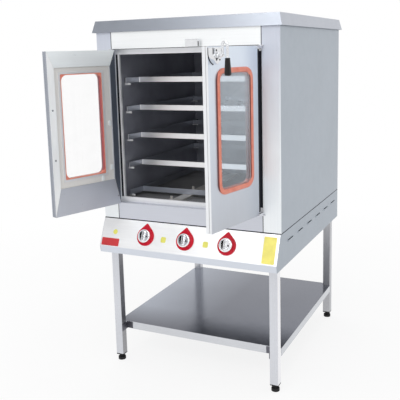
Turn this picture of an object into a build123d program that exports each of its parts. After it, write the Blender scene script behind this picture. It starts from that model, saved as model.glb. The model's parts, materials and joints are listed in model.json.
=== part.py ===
from build123d import *
from math import cos, radians, sin
import os

os.makedirs("parts", exist_ok=True)

# Gas pastry oven on four legs, with two leaf doors, five racks and a sloped control panel.
# Millimetres. X to the right, Y to the back, Z up. The origin is on the floor, midway between the feet.

# Overall body
body_w = 900.0
body_d = 1000.0
control_h = 157.0
sill_h = 82.0
opening_w = 740.0
opening_h = 725.0
fascia_h = 79.0
lid_h = 53.0
sheet = 1.5
hem = 20.0
seam = 1.0

# Legs, feet and shelf
leg_tube = 40.0
leg_wall = 2.0
leg_corner_r = 3.0
leg_len = 551.0
leg_side_setback = 20.0
leg_front_setback = 9.0
leg_rear_setback = 39.0
foot_lift = 34.0
foot_pad_r = 19.0
foot_pad_h = 16.0
foot_round = 5.0
foot_boss_r = 13.0
foot_boss_h = 11.0
foot_stem_r = 6.0
foot_stem_len = 66.0
insert_flange_h = 5.0
insert_plug_h = 26.0
insert_gap = 0.2
running_gap = 0.1
shelf_top_z = 193.0
shelf_lip = 37.0
shelf_sheet = 2.0
shelf_front_gap = 9.0
shelf_rear_overlap = 31.0
shelf_lip_inset = 33.0
notch_gap = 1.0
shelf_bracket_t = 3.0
shelf_bracket_reach = 53.0
shelf_bracket_margin = 2.0

# Lid
lid_flare = 14.0
lid_top_out = 1.0
lid_tuck = 17.0
lid_rail_w = 60.0
lid_rail_spacing = 350.0

# Front columns
column_return = 8.0
column_bend_r = 3.0
rebate = 28.5

# Control panel section
slope_out = 58.0
slope_drop = 126.0
lip_back = 5.0
panel_return = 10.0
bend_r = 4.0
knob_pitch = 208.0
knob_slope_pos = 72.0

# Bezels and knobs
bezel_r = 44.5
bezel_tip_r = 6.0
bezel_tip_rise = 55.0
bezel_t = 5.0
bezel_chamfer = 1.5
knob_r = 31.5
knob_h = 17.0
knob_ridge_w = 13.0
knob_ridge_h = 8.0
knob_ridge_inset = 7.5
knob_round = 5.0
knob_ridge_round = 2.0
knob_stem_r = 5.0
seat_gap = 0.3

# Side louvres
louvre_count = 6
louvre_pitch = 152.0
louvre_first = 134.0
louvre_z_above_base = 105.0
louvre_len = 80.0
louvre_h = 15.0
louvre_rise = 4.0
louvre_skin = 1.4
louvre_taper_angle = 35.0

# Oven cavity
cavity_side_lap = 2.0
cavity_rear_gap = 123.0
frame_lap = 23.0
frame_margin = 60.0
frame_lip = 12.0
liner_sheet = 1.5
floor_rise = 4.0
floor_gap = 1.0
insulation_t = 100.0

# Racks and their pegs
rack_count = 5
rack_pitch = 137.0
rack_first_z = 31.0
rack_bar_h = 25.0
rack_bar_t = 4.0
rack_side_gap = 29.0
rack_flare = 17.0
rack_arm_len = 95.0
rack_front_setback = 194.0
rack_rear_gap = 30.0
rack_rear_bar = 60.0
rack_bend_r = 6.0
peg_r = 5.0
peg_front_len = 27.0
peg_rear_len = 34.0
peg_front_setback = 114.0
peg_rear_gap = 43.0

# Burners
burner_x = 95.0
burner_w = 50.0
burner_h = 13.0
burner_front_setback = 74.0
burner_rear_gap = 53.0
port_rows = 12
port_margin = 56.0
port_r = 2.5
tab_w = 12.0
tab_h = 27.0
tab_t = 2.0
tab_positions = (9.0, 245.0)
gusset_w = 44.0
gusset_h = 14.0

# Gas line
manifold_r = 13.5
manifold_len = 520.0
manifold_setback = 94.0
manifold_above_base = 70.0
stub_r = 7.0
boss_rise = 6.0
pipe_wall = 2.0
valve_w = 34.0
valve_round = 4.0
valve_back_setback = 24.0
riser_r = 8.0
inlet_r = 10.5
inlet_pipe_r = 8.0
inlet_bore_r = 5.5
inlet_x = 180.0
inlet_reach = 18.0
hole_gap = 0.5

# Doors
pivot_proud = 6.0
pivot_inset = 1.0
leaf_t = 27.0
leaf_edge_gap = 3.0
leaf_centre_gap = 4.0
leaf_top_gap = 2.0
hinge_strip = 20.0
skin_fold = 10.0
leaf_groove = 2.0
groove_depth = 4.0
stile_hinge = 85.0
stile_free = 70.0
rail_low = 162.0
rail_top = 103.0
window_r = 28.0
gasket_w = 21.0
gasket_h = 8.0
sleeve_t = 4.0
sleeve_r = 5.0
glass_t = 4.0
glass_lap = 12.0
glass_gap = 0.5
recess_hinge_side = 52.0
recess_free_side = 36.0
recess_below = 39.0
recess_above = 33.0
recess_depth = 6.0
inner_frame_w = 14.0
inner_frame_t = 2.0
left_open_angle = 109.0
right_open_angle = 78.5

# Hinge pivots and their brackets
pin_r = 2.5
pin_boss_r = 4.0
lug_h = 10.0
lug_len = 32.0
bracket_t = 4.0
bracket_w = 20.0
bracket_out = 12.0
bracket_gap = 0.5

# Door handle and latch
handle_edge = 31.0
handle_drop = 35.0
rosette_w = 61.0
rosette_up = 31.0
rosette_down = 32.0
rosette_waist = 6.0
rosette_depth = 25.0
rosette_chamfer = 3.0
tongue_level = 5.0
tongue_t = 4.0
tongue_w = 12.0
tongue_len = 60.0
tongue_hub_r = 8.0
tongue_gap = 1.0
spindle_r = 6.0
collar_r = 13.0
collar_h = 8.0
collar_round = 3.0
arm_r = 5.5
arm_bend_r = 10.0
arm_out = 40.0
arm_rise = 50.0
grip_out = 62.0
grip_top = 9.0
grip_len = 66.0
grip_top_r = 9.5
grip_end_r = 14.0
grip_round = 8.0
strike_x = 55.0
strike_w = 60.0
strike_rise = 4.0
strike_h = 32.0
strike_floor = 8.0
strike_lip = 3.0
strike_gap = 10.0
strike_cap = 10.0
strike_round = 3.0

# Screws and back vents
screw_r = 4.0
screw_h = 2.5
screw_round = 1.0
vent_w = 120.0
vent_h = 6.0

# Levels and planes that follow from the sizes above
base_z = foot_lift + leg_len
seam_z = base_z + control_h
opening_z = seam_z + sill_h
opening_top = opening_z + opening_h
roof_z = opening_top + fascia_h
lid_top_z = roof_z + lid_h
strike_z = opening_top + strike_rise
shell_top = roof_z + lid_tuck
leg_pitch_x = body_w - 2 * leg_side_setback - leg_tube
leg_pitch_y = body_d - leg_front_setback - leg_rear_setback - leg_tube
front_y = -leg_pitch_y / 2 - leg_tube / 2 - leg_front_setback
back_y = front_y + body_d
mid_y = (front_y + back_y) / 2
frame_y = front_y + rebate
liner_front = frame_y + sheet
cavity_w = opening_w + 2 * cavity_side_lap
cavity_back = back_y - cavity_rear_gap
cavity_depth = cavity_back - liner_front
liner_bottom = opening_z
liner_top = opening_top - seam
floor_z = liner_bottom + floor_rise
rack_zs = [opening_z + rack_first_z + index * rack_pitch for index in range(rack_count)]
rack_front_y = front_y + rack_front_setback
rack_half_w = cavity_w / 2 - rack_side_gap
rack_rail_len = cavity_back - rack_rear_gap - rack_front_y
manifold_y = front_y + manifold_setback
manifold_z = base_z + manifold_above_base
valve_back_y = front_y + valve_back_setback
sides = (-1, 1)


# Lid: a flared cap of folded sheet with cross rails that rest on the shell
with BuildPart() as lid:
    with BuildSketch(Plane((0, mid_y, roof_z))):
        Rectangle(body_w + 2 * lid_flare, body_d + 2 * lid_flare)
    with BuildSketch(Plane((0, mid_y, lid_top_z))):
        Rectangle(body_w + 2 * lid_top_out, body_d + 2 * lid_top_out)
    loft()
    with BuildSketch(Plane((0, mid_y, roof_z))):
        Rectangle(body_w + 2 * (lid_flare - sheet), body_d + 2 * (lid_flare - sheet))
    with BuildSketch(Plane((0, mid_y, lid_top_z - sheet))):
        Rectangle(body_w + 2 * (lid_top_out - sheet), body_d + 2 * (lid_top_out - sheet))
    loft(mode=Mode.SUBTRACT)
    with BuildSketch(Plane((0, mid_y, shell_top))):
        with GridLocations(0, lid_rail_spacing, 1, 3):
            Rectangle(body_w - 2 * sheet, lid_rail_w)
            Rectangle(body_w - 2 * sheet, lid_rail_w - 2 * sheet, mode=Mode.SUBTRACT)
    extrude(amount=lid_top_z - sheet - shell_top)
lid.part.label = "lid"
export_step(lid.part, "parts/lid.step")


# Side panels: flat sheets with hems turned in all round
def make_side_panel(side, name):
    panel_front = front_y + column_return
    panel_back = back_y - sheet
    panel_d = panel_back - panel_front
    panel_h = shell_top - seam_z
    centre = (side * body_w / 2, (panel_front + panel_back) / 2, seam_z + panel_h / 2)
    face = Plane(origin=centre, x_dir=(0, 1, 0), z_dir=(-side, 0, 0))
    with BuildPart() as panel:
        with BuildSketch(face):
            Rectangle(panel_d, panel_h)
        extrude(amount=hem)
        with BuildSketch(face.offset(sheet)):
            Rectangle(panel_d - 2 * sheet, panel_h - 2 * sheet)
        extrude(amount=hem, mode=Mode.SUBTRACT)
    panel.part.label = name
    export_step(panel.part, f"parts/{name}.step")


make_side_panel(-1, "side_panel_left")
make_side_panel(1, "side_panel_right")


# Back panel with a ladder of vent slots and the hole for the gas inlet
with BuildPart() as back_panel:
    back_face = Plane(origin=(0, back_y, 0), x_dir=(-1, 0, 0), z_dir=(0, 1, 0))
    with BuildSketch(back_face):
        with Locations((0, (base_z + shell_top) / 2)):
            Rectangle(body_w, shell_top - base_z)
        with Locations((0, base_z + control_h / 2)):
            with GridLocations(2 * vent_w, 3 * vent_h, 2, 3):
                SlotOverall(vent_w, vent_h, mode=Mode.SUBTRACT)
        with Locations((-inlet_x, manifold_z)):
            Circle(inlet_pipe_r + hole_gap, mode=Mode.SUBTRACT)
    extrude(amount=-sheet)
back_panel.part.label = "back_panel"
export_step(back_panel.part, "parts/back_panel.step")


# Front columns: folded uprights with a short side return and a deep return at the opening
def make_column(side, name):
    inner_x = opening_w / 2
    outer_x = body_w / 2
    corner = Vector(side * outer_x, front_y)
    with BuildPart() as column:
        with BuildSketch(Plane.XY.offset(seam_z)) as outline:
            with Locations((side * (inner_x + outer_x) / 2, front_y + rebate / 2)):
                Rectangle(outer_x - inner_x, rebate)
            fillet(outline.vertices().sort_by_distance((corner.X, corner.Y, 0))[0], column_bend_r)
            with Locations((side * (inner_x + outer_x) / 2, front_y + sheet + rebate / 2)):
                Rectangle(outer_x - inner_x - 2 * sheet, rebate, mode=Mode.SUBTRACT)
            with Locations((side * outer_x, front_y + column_return + rebate / 2)):
                Rectangle(4 * sheet, rebate, mode=Mode.SUBTRACT)
        extrude(amount=shell_top - seam_z)
    column.part.label = name
    export_step(column.part, f"parts/{name}.step")


make_column(-1, "column_left")
make_column(1, "column_right")


# Upper and lower fascias: channels between the columns, open to the back
def make_fascia(z_low, z_high, name):
    width = opening_w - 2 * seam
    with BuildPart() as fascia:
        with BuildSketch(Plane.YZ.offset(-width / 2)):
            with Locations((front_y + rebate / 2, (z_low + z_high) / 2)):
                Rectangle(rebate, z_high - z_low)
            with Locations((front_y + sheet + rebate / 2, (z_low + z_high) / 2)):
                Rectangle(rebate, z_high - z_low - 2 * sheet, mode=Mode.SUBTRACT)
        extrude(amount=width)
    fascia.part.label = name
    export_step(fascia.part, f"parts/{name}.step")


make_fascia(opening_top, shell_top, "upper_fascia")
make_fascia(seam_z, opening_z, "lower_fascia")


# Front frame of the oven: a flat ring behind the doors with a lip turned into the cavity
with BuildPart() as cavity_front_frame:
    frame_low = opening_z + frame_lap + seam
    frame_high = opening_top - frame_lap
    frame_plane = Plane(origin=(0, frame_y, (frame_low + frame_high) / 2), x_dir=(1, 0, 0), z_dir=(0, -1, 0))
    mouth_w = opening_w - 2 * frame_lap
    mouth_h = frame_high - frame_low
    with BuildSketch(frame_plane):
        Rectangle(opening_w + 2 * frame_margin, opening_h + frame_margin)
        Rectangle(mouth_w, mouth_h, mode=Mode.SUBTRACT)
    extrude(amount=-sheet)
    with BuildSketch(frame_plane):
        Rectangle(mouth_w + 2 * sheet, mouth_h + 2 * sheet)
        Rectangle(mouth_w, mouth_h, mode=Mode.SUBTRACT)
    extrude(amount=-frame_lip)
cavity_front_frame.part.label = "cavity_front_frame"
export_step(cavity_front_frame.part, "parts/cavity_front_frame.step")


# Cavity liner: a box of sheet, open to the front, with two holes for the gas risers
with BuildPart() as cavity_liner:
    with BuildSketch(Plane.XZ.offset(-liner_front)):
        with Locations((0, (liner_bottom + liner_top) / 2)):
            Rectangle(cavity_w + 2 * liner_sheet, liner_top - liner_bottom + 2 * liner_sheet)
    extrude(amount=-(cavity_depth + liner_sheet))
    with BuildSketch(Plane.XZ.offset(-liner_front)):
        with Locations((0, (liner_bottom + liner_top) / 2)):
            Rectangle(cavity_w, liner_top - liner_bottom)
    extrude(amount=-cavity_depth, mode=Mode.SUBTRACT)
    with BuildSketch(Plane.XY.offset(liner_bottom - liner_sheet)):
        with Locations((-burner_x, manifold_y), (burner_x, manifold_y)):
            Circle(riser_r - pipe_wall)
    extrude(amount=liner_sheet, mode=Mode.SUBTRACT)
cavity_liner.part.label = "cavity_liner"
export_step(cavity_liner.part, "parts/cavity_liner.step")


# Insulation: slabs on both sides, behind and above the liner
with BuildPart() as insulation:
    wall_x = cavity_w / 2 + liner_sheet
    slab_back = cavity_back + liner_sheet + insulation_t
    slab_top = shell_top - sheet
    with BuildSketch(Plane.XY.offset(seam_z + sheet)):
        for side in sides:
            with Locations((side * (wall_x + body_w / 2 - sheet) / 2, (liner_front + slab_back) / 2)):
                Rectangle(body_w / 2 - sheet - wall_x, slab_back - liner_front)
    extrude(amount=slab_top - seam_z - sheet)
    with BuildSketch(Plane.XY.offset(liner_bottom)):
        with Locations((0, cavity_back + liner_sheet + insulation_t / 2)):
            Rectangle(2 * (wall_x - seam), insulation_t)
    extrude(amount=liner_top - liner_bottom)
    with BuildSketch(Plane.XY.offset(liner_top + liner_sheet)):
        with Locations((0, (liner_front + slab_back) / 2)):
            Rectangle(2 * (wall_x - seam), slab_back - liner_front)
    extrude(amount=slab_top - liner_top - liner_sheet)
insulation.part.label = "insulation"
export_step(insulation.part, "parts/insulation.step")


# Oven floor: a plate on two turned-down edges, with a hole over each riser
with BuildPart() as cavity_floor:
    floor_w = cavity_w - 2 * floor_gap
    floor_d = cavity_depth - 2 * floor_gap
    with BuildSketch(Plane((0, liner_front + cavity_depth / 2, liner_bottom))):
        Rectangle(floor_w, floor_d)
    extrude(amount=floor_rise)
    with BuildSketch(Plane((0, liner_front + cavity_depth / 2, liner_bottom))):
        Rectangle(floor_w - 2 * liner_sheet, floor_d)
    extrude(amount=floor_rise - liner_sheet, mode=Mode.SUBTRACT)
    with BuildSketch(Plane.XY.offset(floor_z)):
        with Locations((-burner_x, manifold_y), (burner_x, manifold_y)):
            Circle(riser_r - pipe_wall)
    extrude(amount=-floor_rise, mode=Mode.SUBTRACT)
cavity_floor.part.label = "cavity_floor"
export_step(cavity_floor.part, "parts/cavity_floor.step")


# Burners: flat ribbon bodies on the floor with two upright tabs and their gussets
def make_burner(side, name):
    burner_front = front_y + burner_front_setback
    burner_len = cavity_back - burner_rear_gap - burner_front
    port_pitch = (burner_len - 2 * port_margin) / (port_rows - 1)
    tab_x = side * (burner_x + burner_w / 2 + tab_w / 2 - tab_t)
    with BuildPart() as burner:
        with BuildSketch(Plane.XZ.offset(-burner_front)) as section:
            with Locations((side * burner_x, floor_z + burner_h / 2)):
                Rectangle(burner_w, burner_h)
            fillet(section.vertices().group_by(Axis.Y)[-1], burner_h / 3)
        extrude(amount=-burner_len)
        with BuildSketch(Plane.XY.offset(floor_z + burner_h)):
            with Locations((side * burner_x, burner_front + burner_len / 2)):
                with GridLocations(burner_w / 2, port_pitch, 2, port_rows):
                    Circle(port_r)
        extrude(amount=-burner_h / 2, mode=Mode.SUBTRACT)
        for reach in tab_positions:
            with BuildSketch(Plane.XZ.offset(-(burner_front + reach))):
                with Locations((tab_x, floor_z + tab_h / 2)):
                    Rectangle(tab_w, tab_h)
                edge_x = tab_x + side * (tab_w / 2 - tab_t)
                with BuildLine():
                    Polyline(
                        (edge_x, floor_z),
                        (edge_x + side * gusset_w, floor_z),
                        (edge_x, floor_z + gusset_h),
                        close=True,
                    )
                make_face()
            extrude(amount=-tab_t)
    burner.part.label = name
    export_step(burner.part, f"parts/{name}.step")


make_burner(-1, "burner_left")
make_burner(1, "burner_right")


# Rack pegs: four round studs a level, welded to the cavity walls
with BuildPart() as rack_pegs:
    for side in sides:
        for peg_y, length in (
            (front_y + peg_front_setback, peg_front_len),
            (cavity_back - peg_rear_gap, peg_rear_len),
        ):
            wall = Plane(origin=(side * cavity_w / 2, peg_y, 0), x_dir=(0, -side, 0), z_dir=(-side, 0, 0))
            with BuildSketch(wall):
                for rack_z in rack_zs:
                    with Locations((0, rack_z - rack_bar_h / 2 - seat_gap - peg_r)):
                        Circle(peg_r)
            extrude(amount=length)
rack_pegs.part.label = "rack_pegs"
export_step(rack_pegs.part, "parts/rack_pegs.step")


# Racks: a flat front bar with flared ends, two side rails and a rear bar
def make_rack(rack_z, name):
    bend = (rack_half_w, rack_front_y)
    tip = (rack_half_w + rack_flare, rack_front_y - rack_arm_len)
    with BuildPart() as rack:
        with BuildSketch(Plane.XY.offset(rack_z - rack_bar_h / 2)):
            with BuildLine():
                FilletPolyline(
                    (-tip[0], tip[1]), (-bend[0], bend[1]), bend, tip, radius=rack_bend_r
                )
            trace(line_width=rack_bar_t)
            for side in sides:
                with Locations((side * rack_half_w, rack_front_y - rack_bar_t / 2 + rack_rail_len / 2)):
                    Rectangle(rack_bar_t, rack_rail_len)
            with Locations((0, rack_front_y + rack_rail_len - rack_rear_bar)):
                Rectangle(2 * rack_half_w, rack_bar_t)
        extrude(amount=rack_bar_h)
    rack.part.label = name
    export_step(rack.part, f"parts/{name}.step")


for index, rack_z in enumerate(rack_zs):
    make_rack(rack_z, f"rack_{index + 1}")


# Control panel: one folded sheet, sloped in front, with returns at the top and bottom
control_profile = [
    (front_y, seam_z),
    (front_y - slope_out, seam_z - slope_drop),
    (front_y - slope_out + lip_back, base_z),
]
with BuildPart() as control_panel:
    fold_back = front_y + panel_return
    with BuildSketch(Plane.YZ.offset(-body_w / 2 + sheet)) as fold:
        with BuildLine():
            Polyline(*control_profile, (fold_back + sheet, base_z), (fold_back + sheet, seam_z), close=True)
        make_face()
        fillet(fold.vertices().group_by(Axis.X)[0], bend_r)
        offset(amount=-sheet, mode=Mode.SUBTRACT)
        with Locations((fold_back + sheet, (base_z + seam_z) / 2)):
            Rectangle(2 * sheet, control_h, mode=Mode.SUBTRACT)
    extrude(amount=body_w - 2 * sheet)
    slope = Plane(
        origin=(0, front_y, seam_z), x_dir=(1, 0, 0), z_dir=(0, -slope_drop, slope_out)
    )
    with BuildSketch(slope):
        with Locations((0, -knob_slope_pos)):
            with GridLocations(knob_pitch, 0, 3, 1):
                Circle(knob_stem_r + hole_gap)
    extrude(amount=-2 * sheet, mode=Mode.SUBTRACT)
control_panel.part.label = "control_panel"
export_step(control_panel.part, "parts/control_panel.step")


# Control housing: side cheeks with louvres that open upwards, on a flat base
with BuildPart() as control_housing:
    cheek_back = back_y - sheet
    for side in sides:
        with BuildSketch(Plane.YZ.offset(side * (body_w - sheet) / 2 - sheet / 2)):
            with BuildLine():
                Polyline(*control_profile, (cheek_back, base_z), (cheek_back, seam_z), close=True)
            make_face()
        extrude(amount=sheet)
    base_front = front_y + panel_return
    with BuildSketch(Plane.XY.offset(base_z)):
        with Locations((0, (base_front + cheek_back) / 2)):
            Rectangle(body_w, cheek_back - base_front)
    extrude(amount=sheet)
    for side in sides:
        cheek = Plane(
            origin=(side * body_w / 2, mid_y, base_z + louvre_z_above_base),
            x_dir=(0, side, 0),
            z_dir=(side, 0, 0),
        )
        row_shift = side * (front_y + louvre_first + louvre_pitch * (louvre_count - 1) / 2 - mid_y)
        with BuildSketch(cheek):
            with Locations((row_shift, 0)):
                with GridLocations(louvre_pitch, 0, louvre_count, 1):
                    SlotOverall(louvre_len, louvre_h)
        extrude(amount=louvre_rise, taper=louvre_taper_angle)
        with BuildSketch(cheek.offset(-2 * sheet)):
            with Locations((row_shift, 0)):
                with GridLocations(louvre_pitch, 0, louvre_count, 1):
                    SlotOverall(louvre_len - 3 * louvre_rise, louvre_h - 2 * louvre_rise)
        extrude(amount=2 * sheet + louvre_rise - louvre_skin, mode=Mode.SUBTRACT)
        with BuildSketch(cheek):
            with Locations((row_shift, louvre_h / 2)):
                with GridLocations(louvre_pitch, 0, louvre_count, 1):
                    Rectangle(louvre_len, louvre_h - louvre_rise)
        extrude(amount=2 * louvre_rise, mode=Mode.SUBTRACT)
control_housing.part.label = "control_housing"
export_step(control_housing.part, "parts/control_housing.step")


# Knob bezels: three drop-shaped plates on the slope
with BuildPart() as knob_bezels:
    for column in (-1, 0, 1):
        drop = Plane(
            origin=slope.from_local_coords((column * knob_pitch, -knob_slope_pos, 0)),
            x_dir=slope.x_dir,
            z_dir=slope.z_dir,
        )
        with BuildSketch(drop):
            Circle(bezel_r)
            with Locations((0, bezel_tip_rise)):
                Circle(bezel_tip_r)
            make_hull()
            Circle(knob_stem_r + hole_gap, mode=Mode.SUBTRACT)
        extrude(amount=bezel_t)
    bezel_rims = knob_bezels.edges().filter_by(
        lambda edge: slope.to_local_coords(edge.center()).Z > bezel_t - sheet and edge.length > knob_r
    )
    chamfer(bezel_rims, bezel_chamfer)
knob_bezels.part.label = "knob_bezels"
export_step(knob_bezels.part, "parts/knob_bezels.step")


# Knobs: a round skirt, a dished body and a grip ridge across the middle
def make_knob(column, name):
    face = Plane(
        origin=slope.from_local_coords((column * knob_pitch, -knob_slope_pos, 0)),
        x_dir=slope.x_dir,
        z_dir=slope.z_dir,
    )
    skirt_n = bezel_t + seat_gap
    with BuildPart() as knob:
        with BuildSketch(face.offset(seat_gap)):
            Circle(knob_stem_r)
        extrude(amount=bezel_t)
        with BuildSketch(face.offset(skirt_n)):
            Circle(knob_r)
        extrude(amount=knob_h)
        crown = knob.faces().sort_by(Axis(face.origin, face.z_dir))[-1]
        fillet(crown.edges(), knob_round)
        with BuildSketch(face.offset(skirt_n + knob_h - 1)):
            SlotOverall(2 * (knob_r - knob_ridge_inset), knob_ridge_w, rotation=90)
        extrude(amount=knob_ridge_h + 1)
        ridge = knob.faces().sort_by(Axis(face.origin, face.z_dir))[-1]
        fillet(ridge.edges(), knob_ridge_round)
    knob.part.label = name
    export_step(knob.part, f"parts/{name}.step")


for column, name in ((-1, "knob_left"), (0, "knob_middle"), (1, "knob_right")):
    make_knob(column, name)


# Gas valves: a body behind the panel under each knob, with a flat back for its pipe
with BuildPart() as gas_valves:
    for column in (-1, 0, 1):
        seat = slope.from_local_coords((column * knob_pitch, -knob_slope_pos, -sheet))
        with BuildSketch(Plane.XZ.offset(-valve_back_y)):
            with Locations((seat.X, manifold_z)):
                RectangleRounded(valve_w, valve_w, valve_round)
        extrude(amount=valve_w)
        neck_face = Plane(origin=seat, x_dir=slope.x_dir, z_dir=slope.z_dir)
        with BuildSketch(neck_face):
            Circle(valve_w / 2 - valve_round)
        extrude(amount=-valve_w)
gas_valves.part.label = "gas_valves"
export_step(gas_valves.part, "parts/gas_valves.step")


# Manifold: a pipe across the housing, with stubs to the valves and flat bosses for the risers
with BuildPart() as gas_manifold:
    with BuildSketch(Plane.YZ.offset(-manifold_len / 2)):
        with Locations((manifold_y, manifold_z)):
            Circle(manifold_r)
    extrude(amount=manifold_len)
    with BuildSketch(Plane.XZ.offset(-valve_back_y)):
        with Locations((0, manifold_z)):
            with GridLocations(knob_pitch, 0, 3, 1):
                Circle(stub_r)
    extrude(amount=-(manifold_y - valve_back_y))
    with BuildSketch(Plane.XY.offset(manifold_z)):
        with Locations((-burner_x, manifold_y), (burner_x, manifold_y)):
            Circle(riser_r + pipe_wall)
    extrude(amount=manifold_r + boss_rise)
    with BuildSketch(Plane.XZ.offset(-manifold_y)):
        with Locations((inlet_x, manifold_z)):
            Circle(inlet_r + pipe_wall)
    extrude(amount=-(manifold_r + boss_rise))
gas_manifold.part.label = "gas_manifold"
export_step(gas_manifold.part, "parts/gas_manifold.step")


# Risers from the manifold to the liner, one under each burner
with BuildPart() as burner_feeds:
    riser_foot = manifold_z + manifold_r + boss_rise
    with BuildSketch(Plane.XY.offset(riser_foot)):
        with Locations((-burner_x, manifold_y), (burner_x, manifold_y)):
            Circle(riser_r)
            Circle(riser_r - pipe_wall, mode=Mode.SUBTRACT)
    extrude(amount=liner_bottom - liner_sheet - riser_foot)
burner_feeds.part.label = "burner_feeds"
export_step(burner_feeds.part, "parts/burner_feeds.step")


# Gas inlet: a pipe from the manifold to a wider stub that seats on the back panel
with BuildPart() as gas_inlet:
    inlet_start = manifold_y + manifold_r + boss_rise
    with BuildSketch(Plane.XZ.offset(-inlet_start)):
        with Locations((inlet_x, manifold_z)):
            Circle(inlet_pipe_r)
    extrude(amount=-(back_y - inlet_start))
    with BuildSketch(Plane.XZ.offset(-back_y)):
        with Locations((inlet_x, manifold_z)):
            Circle(inlet_r)
    extrude(amount=-inlet_reach)
    with BuildSketch(Plane.XZ.offset(-back_y - inlet_reach)):
        with Locations((inlet_x, manifold_z)):
            Circle(inlet_bore_r)
    extrude(amount=back_y + inlet_reach - inlet_start, mode=Mode.SUBTRACT)
gas_inlet.part.label = "gas_inlet"
export_step(gas_inlet.part, "parts/gas_inlet.step")


# Legs: square tubes under the housing
def make_leg(side_x, side_y, name):
    with BuildPart() as leg:
        with BuildSketch(Plane((side_x * leg_pitch_x / 2, side_y * leg_pitch_y / 2, foot_lift))):
            RectangleRounded(leg_tube, leg_tube, leg_corner_r)
            RectangleRounded(
                leg_tube - 2 * leg_wall, leg_tube - 2 * leg_wall, leg_corner_r - leg_wall, mode=Mode.SUBTRACT
            )
        extrude(amount=leg_len)
    leg.part.label = name
    export_step(leg.part, f"parts/{name}.step")


# Levelling feet: a round pad and a lock nut on a stem
def make_foot(side_x, side_y, name):
    floor_spot = Plane((side_x * leg_pitch_x / 2, side_y * leg_pitch_y / 2, 0))
    with BuildPart() as foot:
        with BuildSketch(floor_spot):
            Circle(foot_pad_r)
        extrude(amount=foot_pad_h)
        fillet(foot.edges().group_by(Axis.Z)[-1], foot_round)
        with BuildSketch(floor_spot.offset(foot_pad_h)):
            RegularPolygon(foot_boss_r, 6)
        extrude(amount=foot_boss_h)
        with BuildSketch(floor_spot):
            Circle(foot_stem_r)
        extrude(amount=foot_stem_len)
    foot.part.label = name
    export_step(foot.part, f"parts/{name}.step")


for side_y, place in ((-1, "front"), (1, "rear")):
    for side_x, hand in ((-1, "left"), (1, "right")):
        make_leg(side_x, side_y, f"leg_{place}_{hand}")
        make_foot(side_x, side_y, f"foot_{place}_{hand}")


# Leg inserts: plugs in the tube ends that guide the stems
with BuildPart() as leg_inserts:
    bore = leg_tube - 2 * leg_wall - 2 * insert_gap
    with BuildSketch(Plane.XY.offset(foot_lift - insert_flange_h)):
        with GridLocations(leg_pitch_x, leg_pitch_y, 2, 2):
            RectangleRounded(leg_tube, leg_tube, leg_corner_r)
    extrude(amount=insert_flange_h)
    with BuildSketch(Plane.XY.offset(foot_lift)):
        with GridLocations(leg_pitch_x, leg_pitch_y, 2, 2):
            RectangleRounded(bore, bore, leg_corner_r - leg_wall)
    extrude(amount=insert_plug_h)
    with BuildSketch(Plane.XY.offset(foot_lift - insert_flange_h)):
        with GridLocations(leg_pitch_x, leg_pitch_y, 2, 2):
            Circle(foot_stem_r + running_gap)
    extrude(amount=insert_flange_h + insert_plug_h, mode=Mode.SUBTRACT)
leg_inserts.part.label = "leg_inserts"
export_step(leg_inserts.part, "parts/leg_inserts.step")

# Under-shelf: a flat sheet with lips turned down, notched round the rear legs
shelf_half_w = leg_pitch_x / 2 + leg_tube / 2
shelf_front = -leg_pitch_y / 2 + leg_tube / 2 + shelf_front_gap
shelf_back = leg_pitch_y / 2 - leg_tube / 2 + shelf_rear_overlap
leg_inner_x = leg_pitch_x / 2 - leg_tube / 2
notch_x = leg_inner_x - notch_gap
notch_y = leg_pitch_y / 2 - leg_tube / 2 - notch_gap
with BuildPart() as under_shelf:
    with BuildSketch(Plane.XY.offset(shelf_top_z - shelf_sheet)):
        with Locations((0, (shelf_front + notch_y) / 2)):
            Rectangle(2 * shelf_half_w, notch_y - shelf_front)
        with Locations((0, (notch_y + shelf_back) / 2)):
            Rectangle(2 * notch_x, shelf_back - notch_y)
    extrude(amount=shelf_sheet)
    with BuildSketch(Plane.XY.offset(shelf_top_z - shelf_lip)):
        with Locations((0, shelf_front + shelf_sheet / 2)):
            Rectangle(2 * (leg_inner_x - shelf_lip_inset), shelf_sheet)
        with Locations((0, shelf_back - shelf_sheet / 2)):
            Rectangle(2 * notch_x, shelf_sheet)
        for side in sides:
            with Locations((side * (shelf_half_w - shelf_sheet / 2), (shelf_front + notch_y) / 2)):
                Rectangle(shelf_sheet, notch_y - shelf_front)
    extrude(amount=shelf_lip - shelf_sheet)
under_shelf.part.label = "under_shelf"
export_step(under_shelf.part, "parts/under_shelf.step")

# Shelf brackets: an angle at each leg, with one flange on the leg and one behind the shelf's lip
with BuildPart() as shelf_brackets:
    front_lip_face = shelf_front + shelf_sheet
    rear_lip_face = shelf_back - shelf_sheet
    front_flange_end = -(leg_pitch_y + leg_tube) / 2 + shelf_bracket_margin
    rear_flange_end = (leg_pitch_y - leg_tube) / 2 + shelf_bracket_margin
    with BuildSketch(Plane.XY.offset(shelf_top_z - shelf_lip)):
        for side in sides:
            for lip_face, flange_end, inward in (
                (front_lip_face, front_flange_end, 1),
                (rear_lip_face, rear_flange_end, -1),
            ):
                with Locations((side * (leg_inner_x - shelf_bracket_t / 2), (flange_end + lip_face) / 2)):
                    Rectangle(shelf_bracket_t, abs(lip_face - flange_end))
                flange_x = side * (leg_inner_x - shelf_bracket_reach / 2)
                with Locations((flange_x, lip_face + inward * shelf_bracket_t / 2)):
                    Rectangle(shelf_bracket_reach, shelf_bracket_t)
    extrude(amount=shelf_lip - shelf_sheet)
shelf_brackets.part.label = "shelf_brackets"
export_step(shelf_brackets.part, "parts/shelf_brackets.step")

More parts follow.
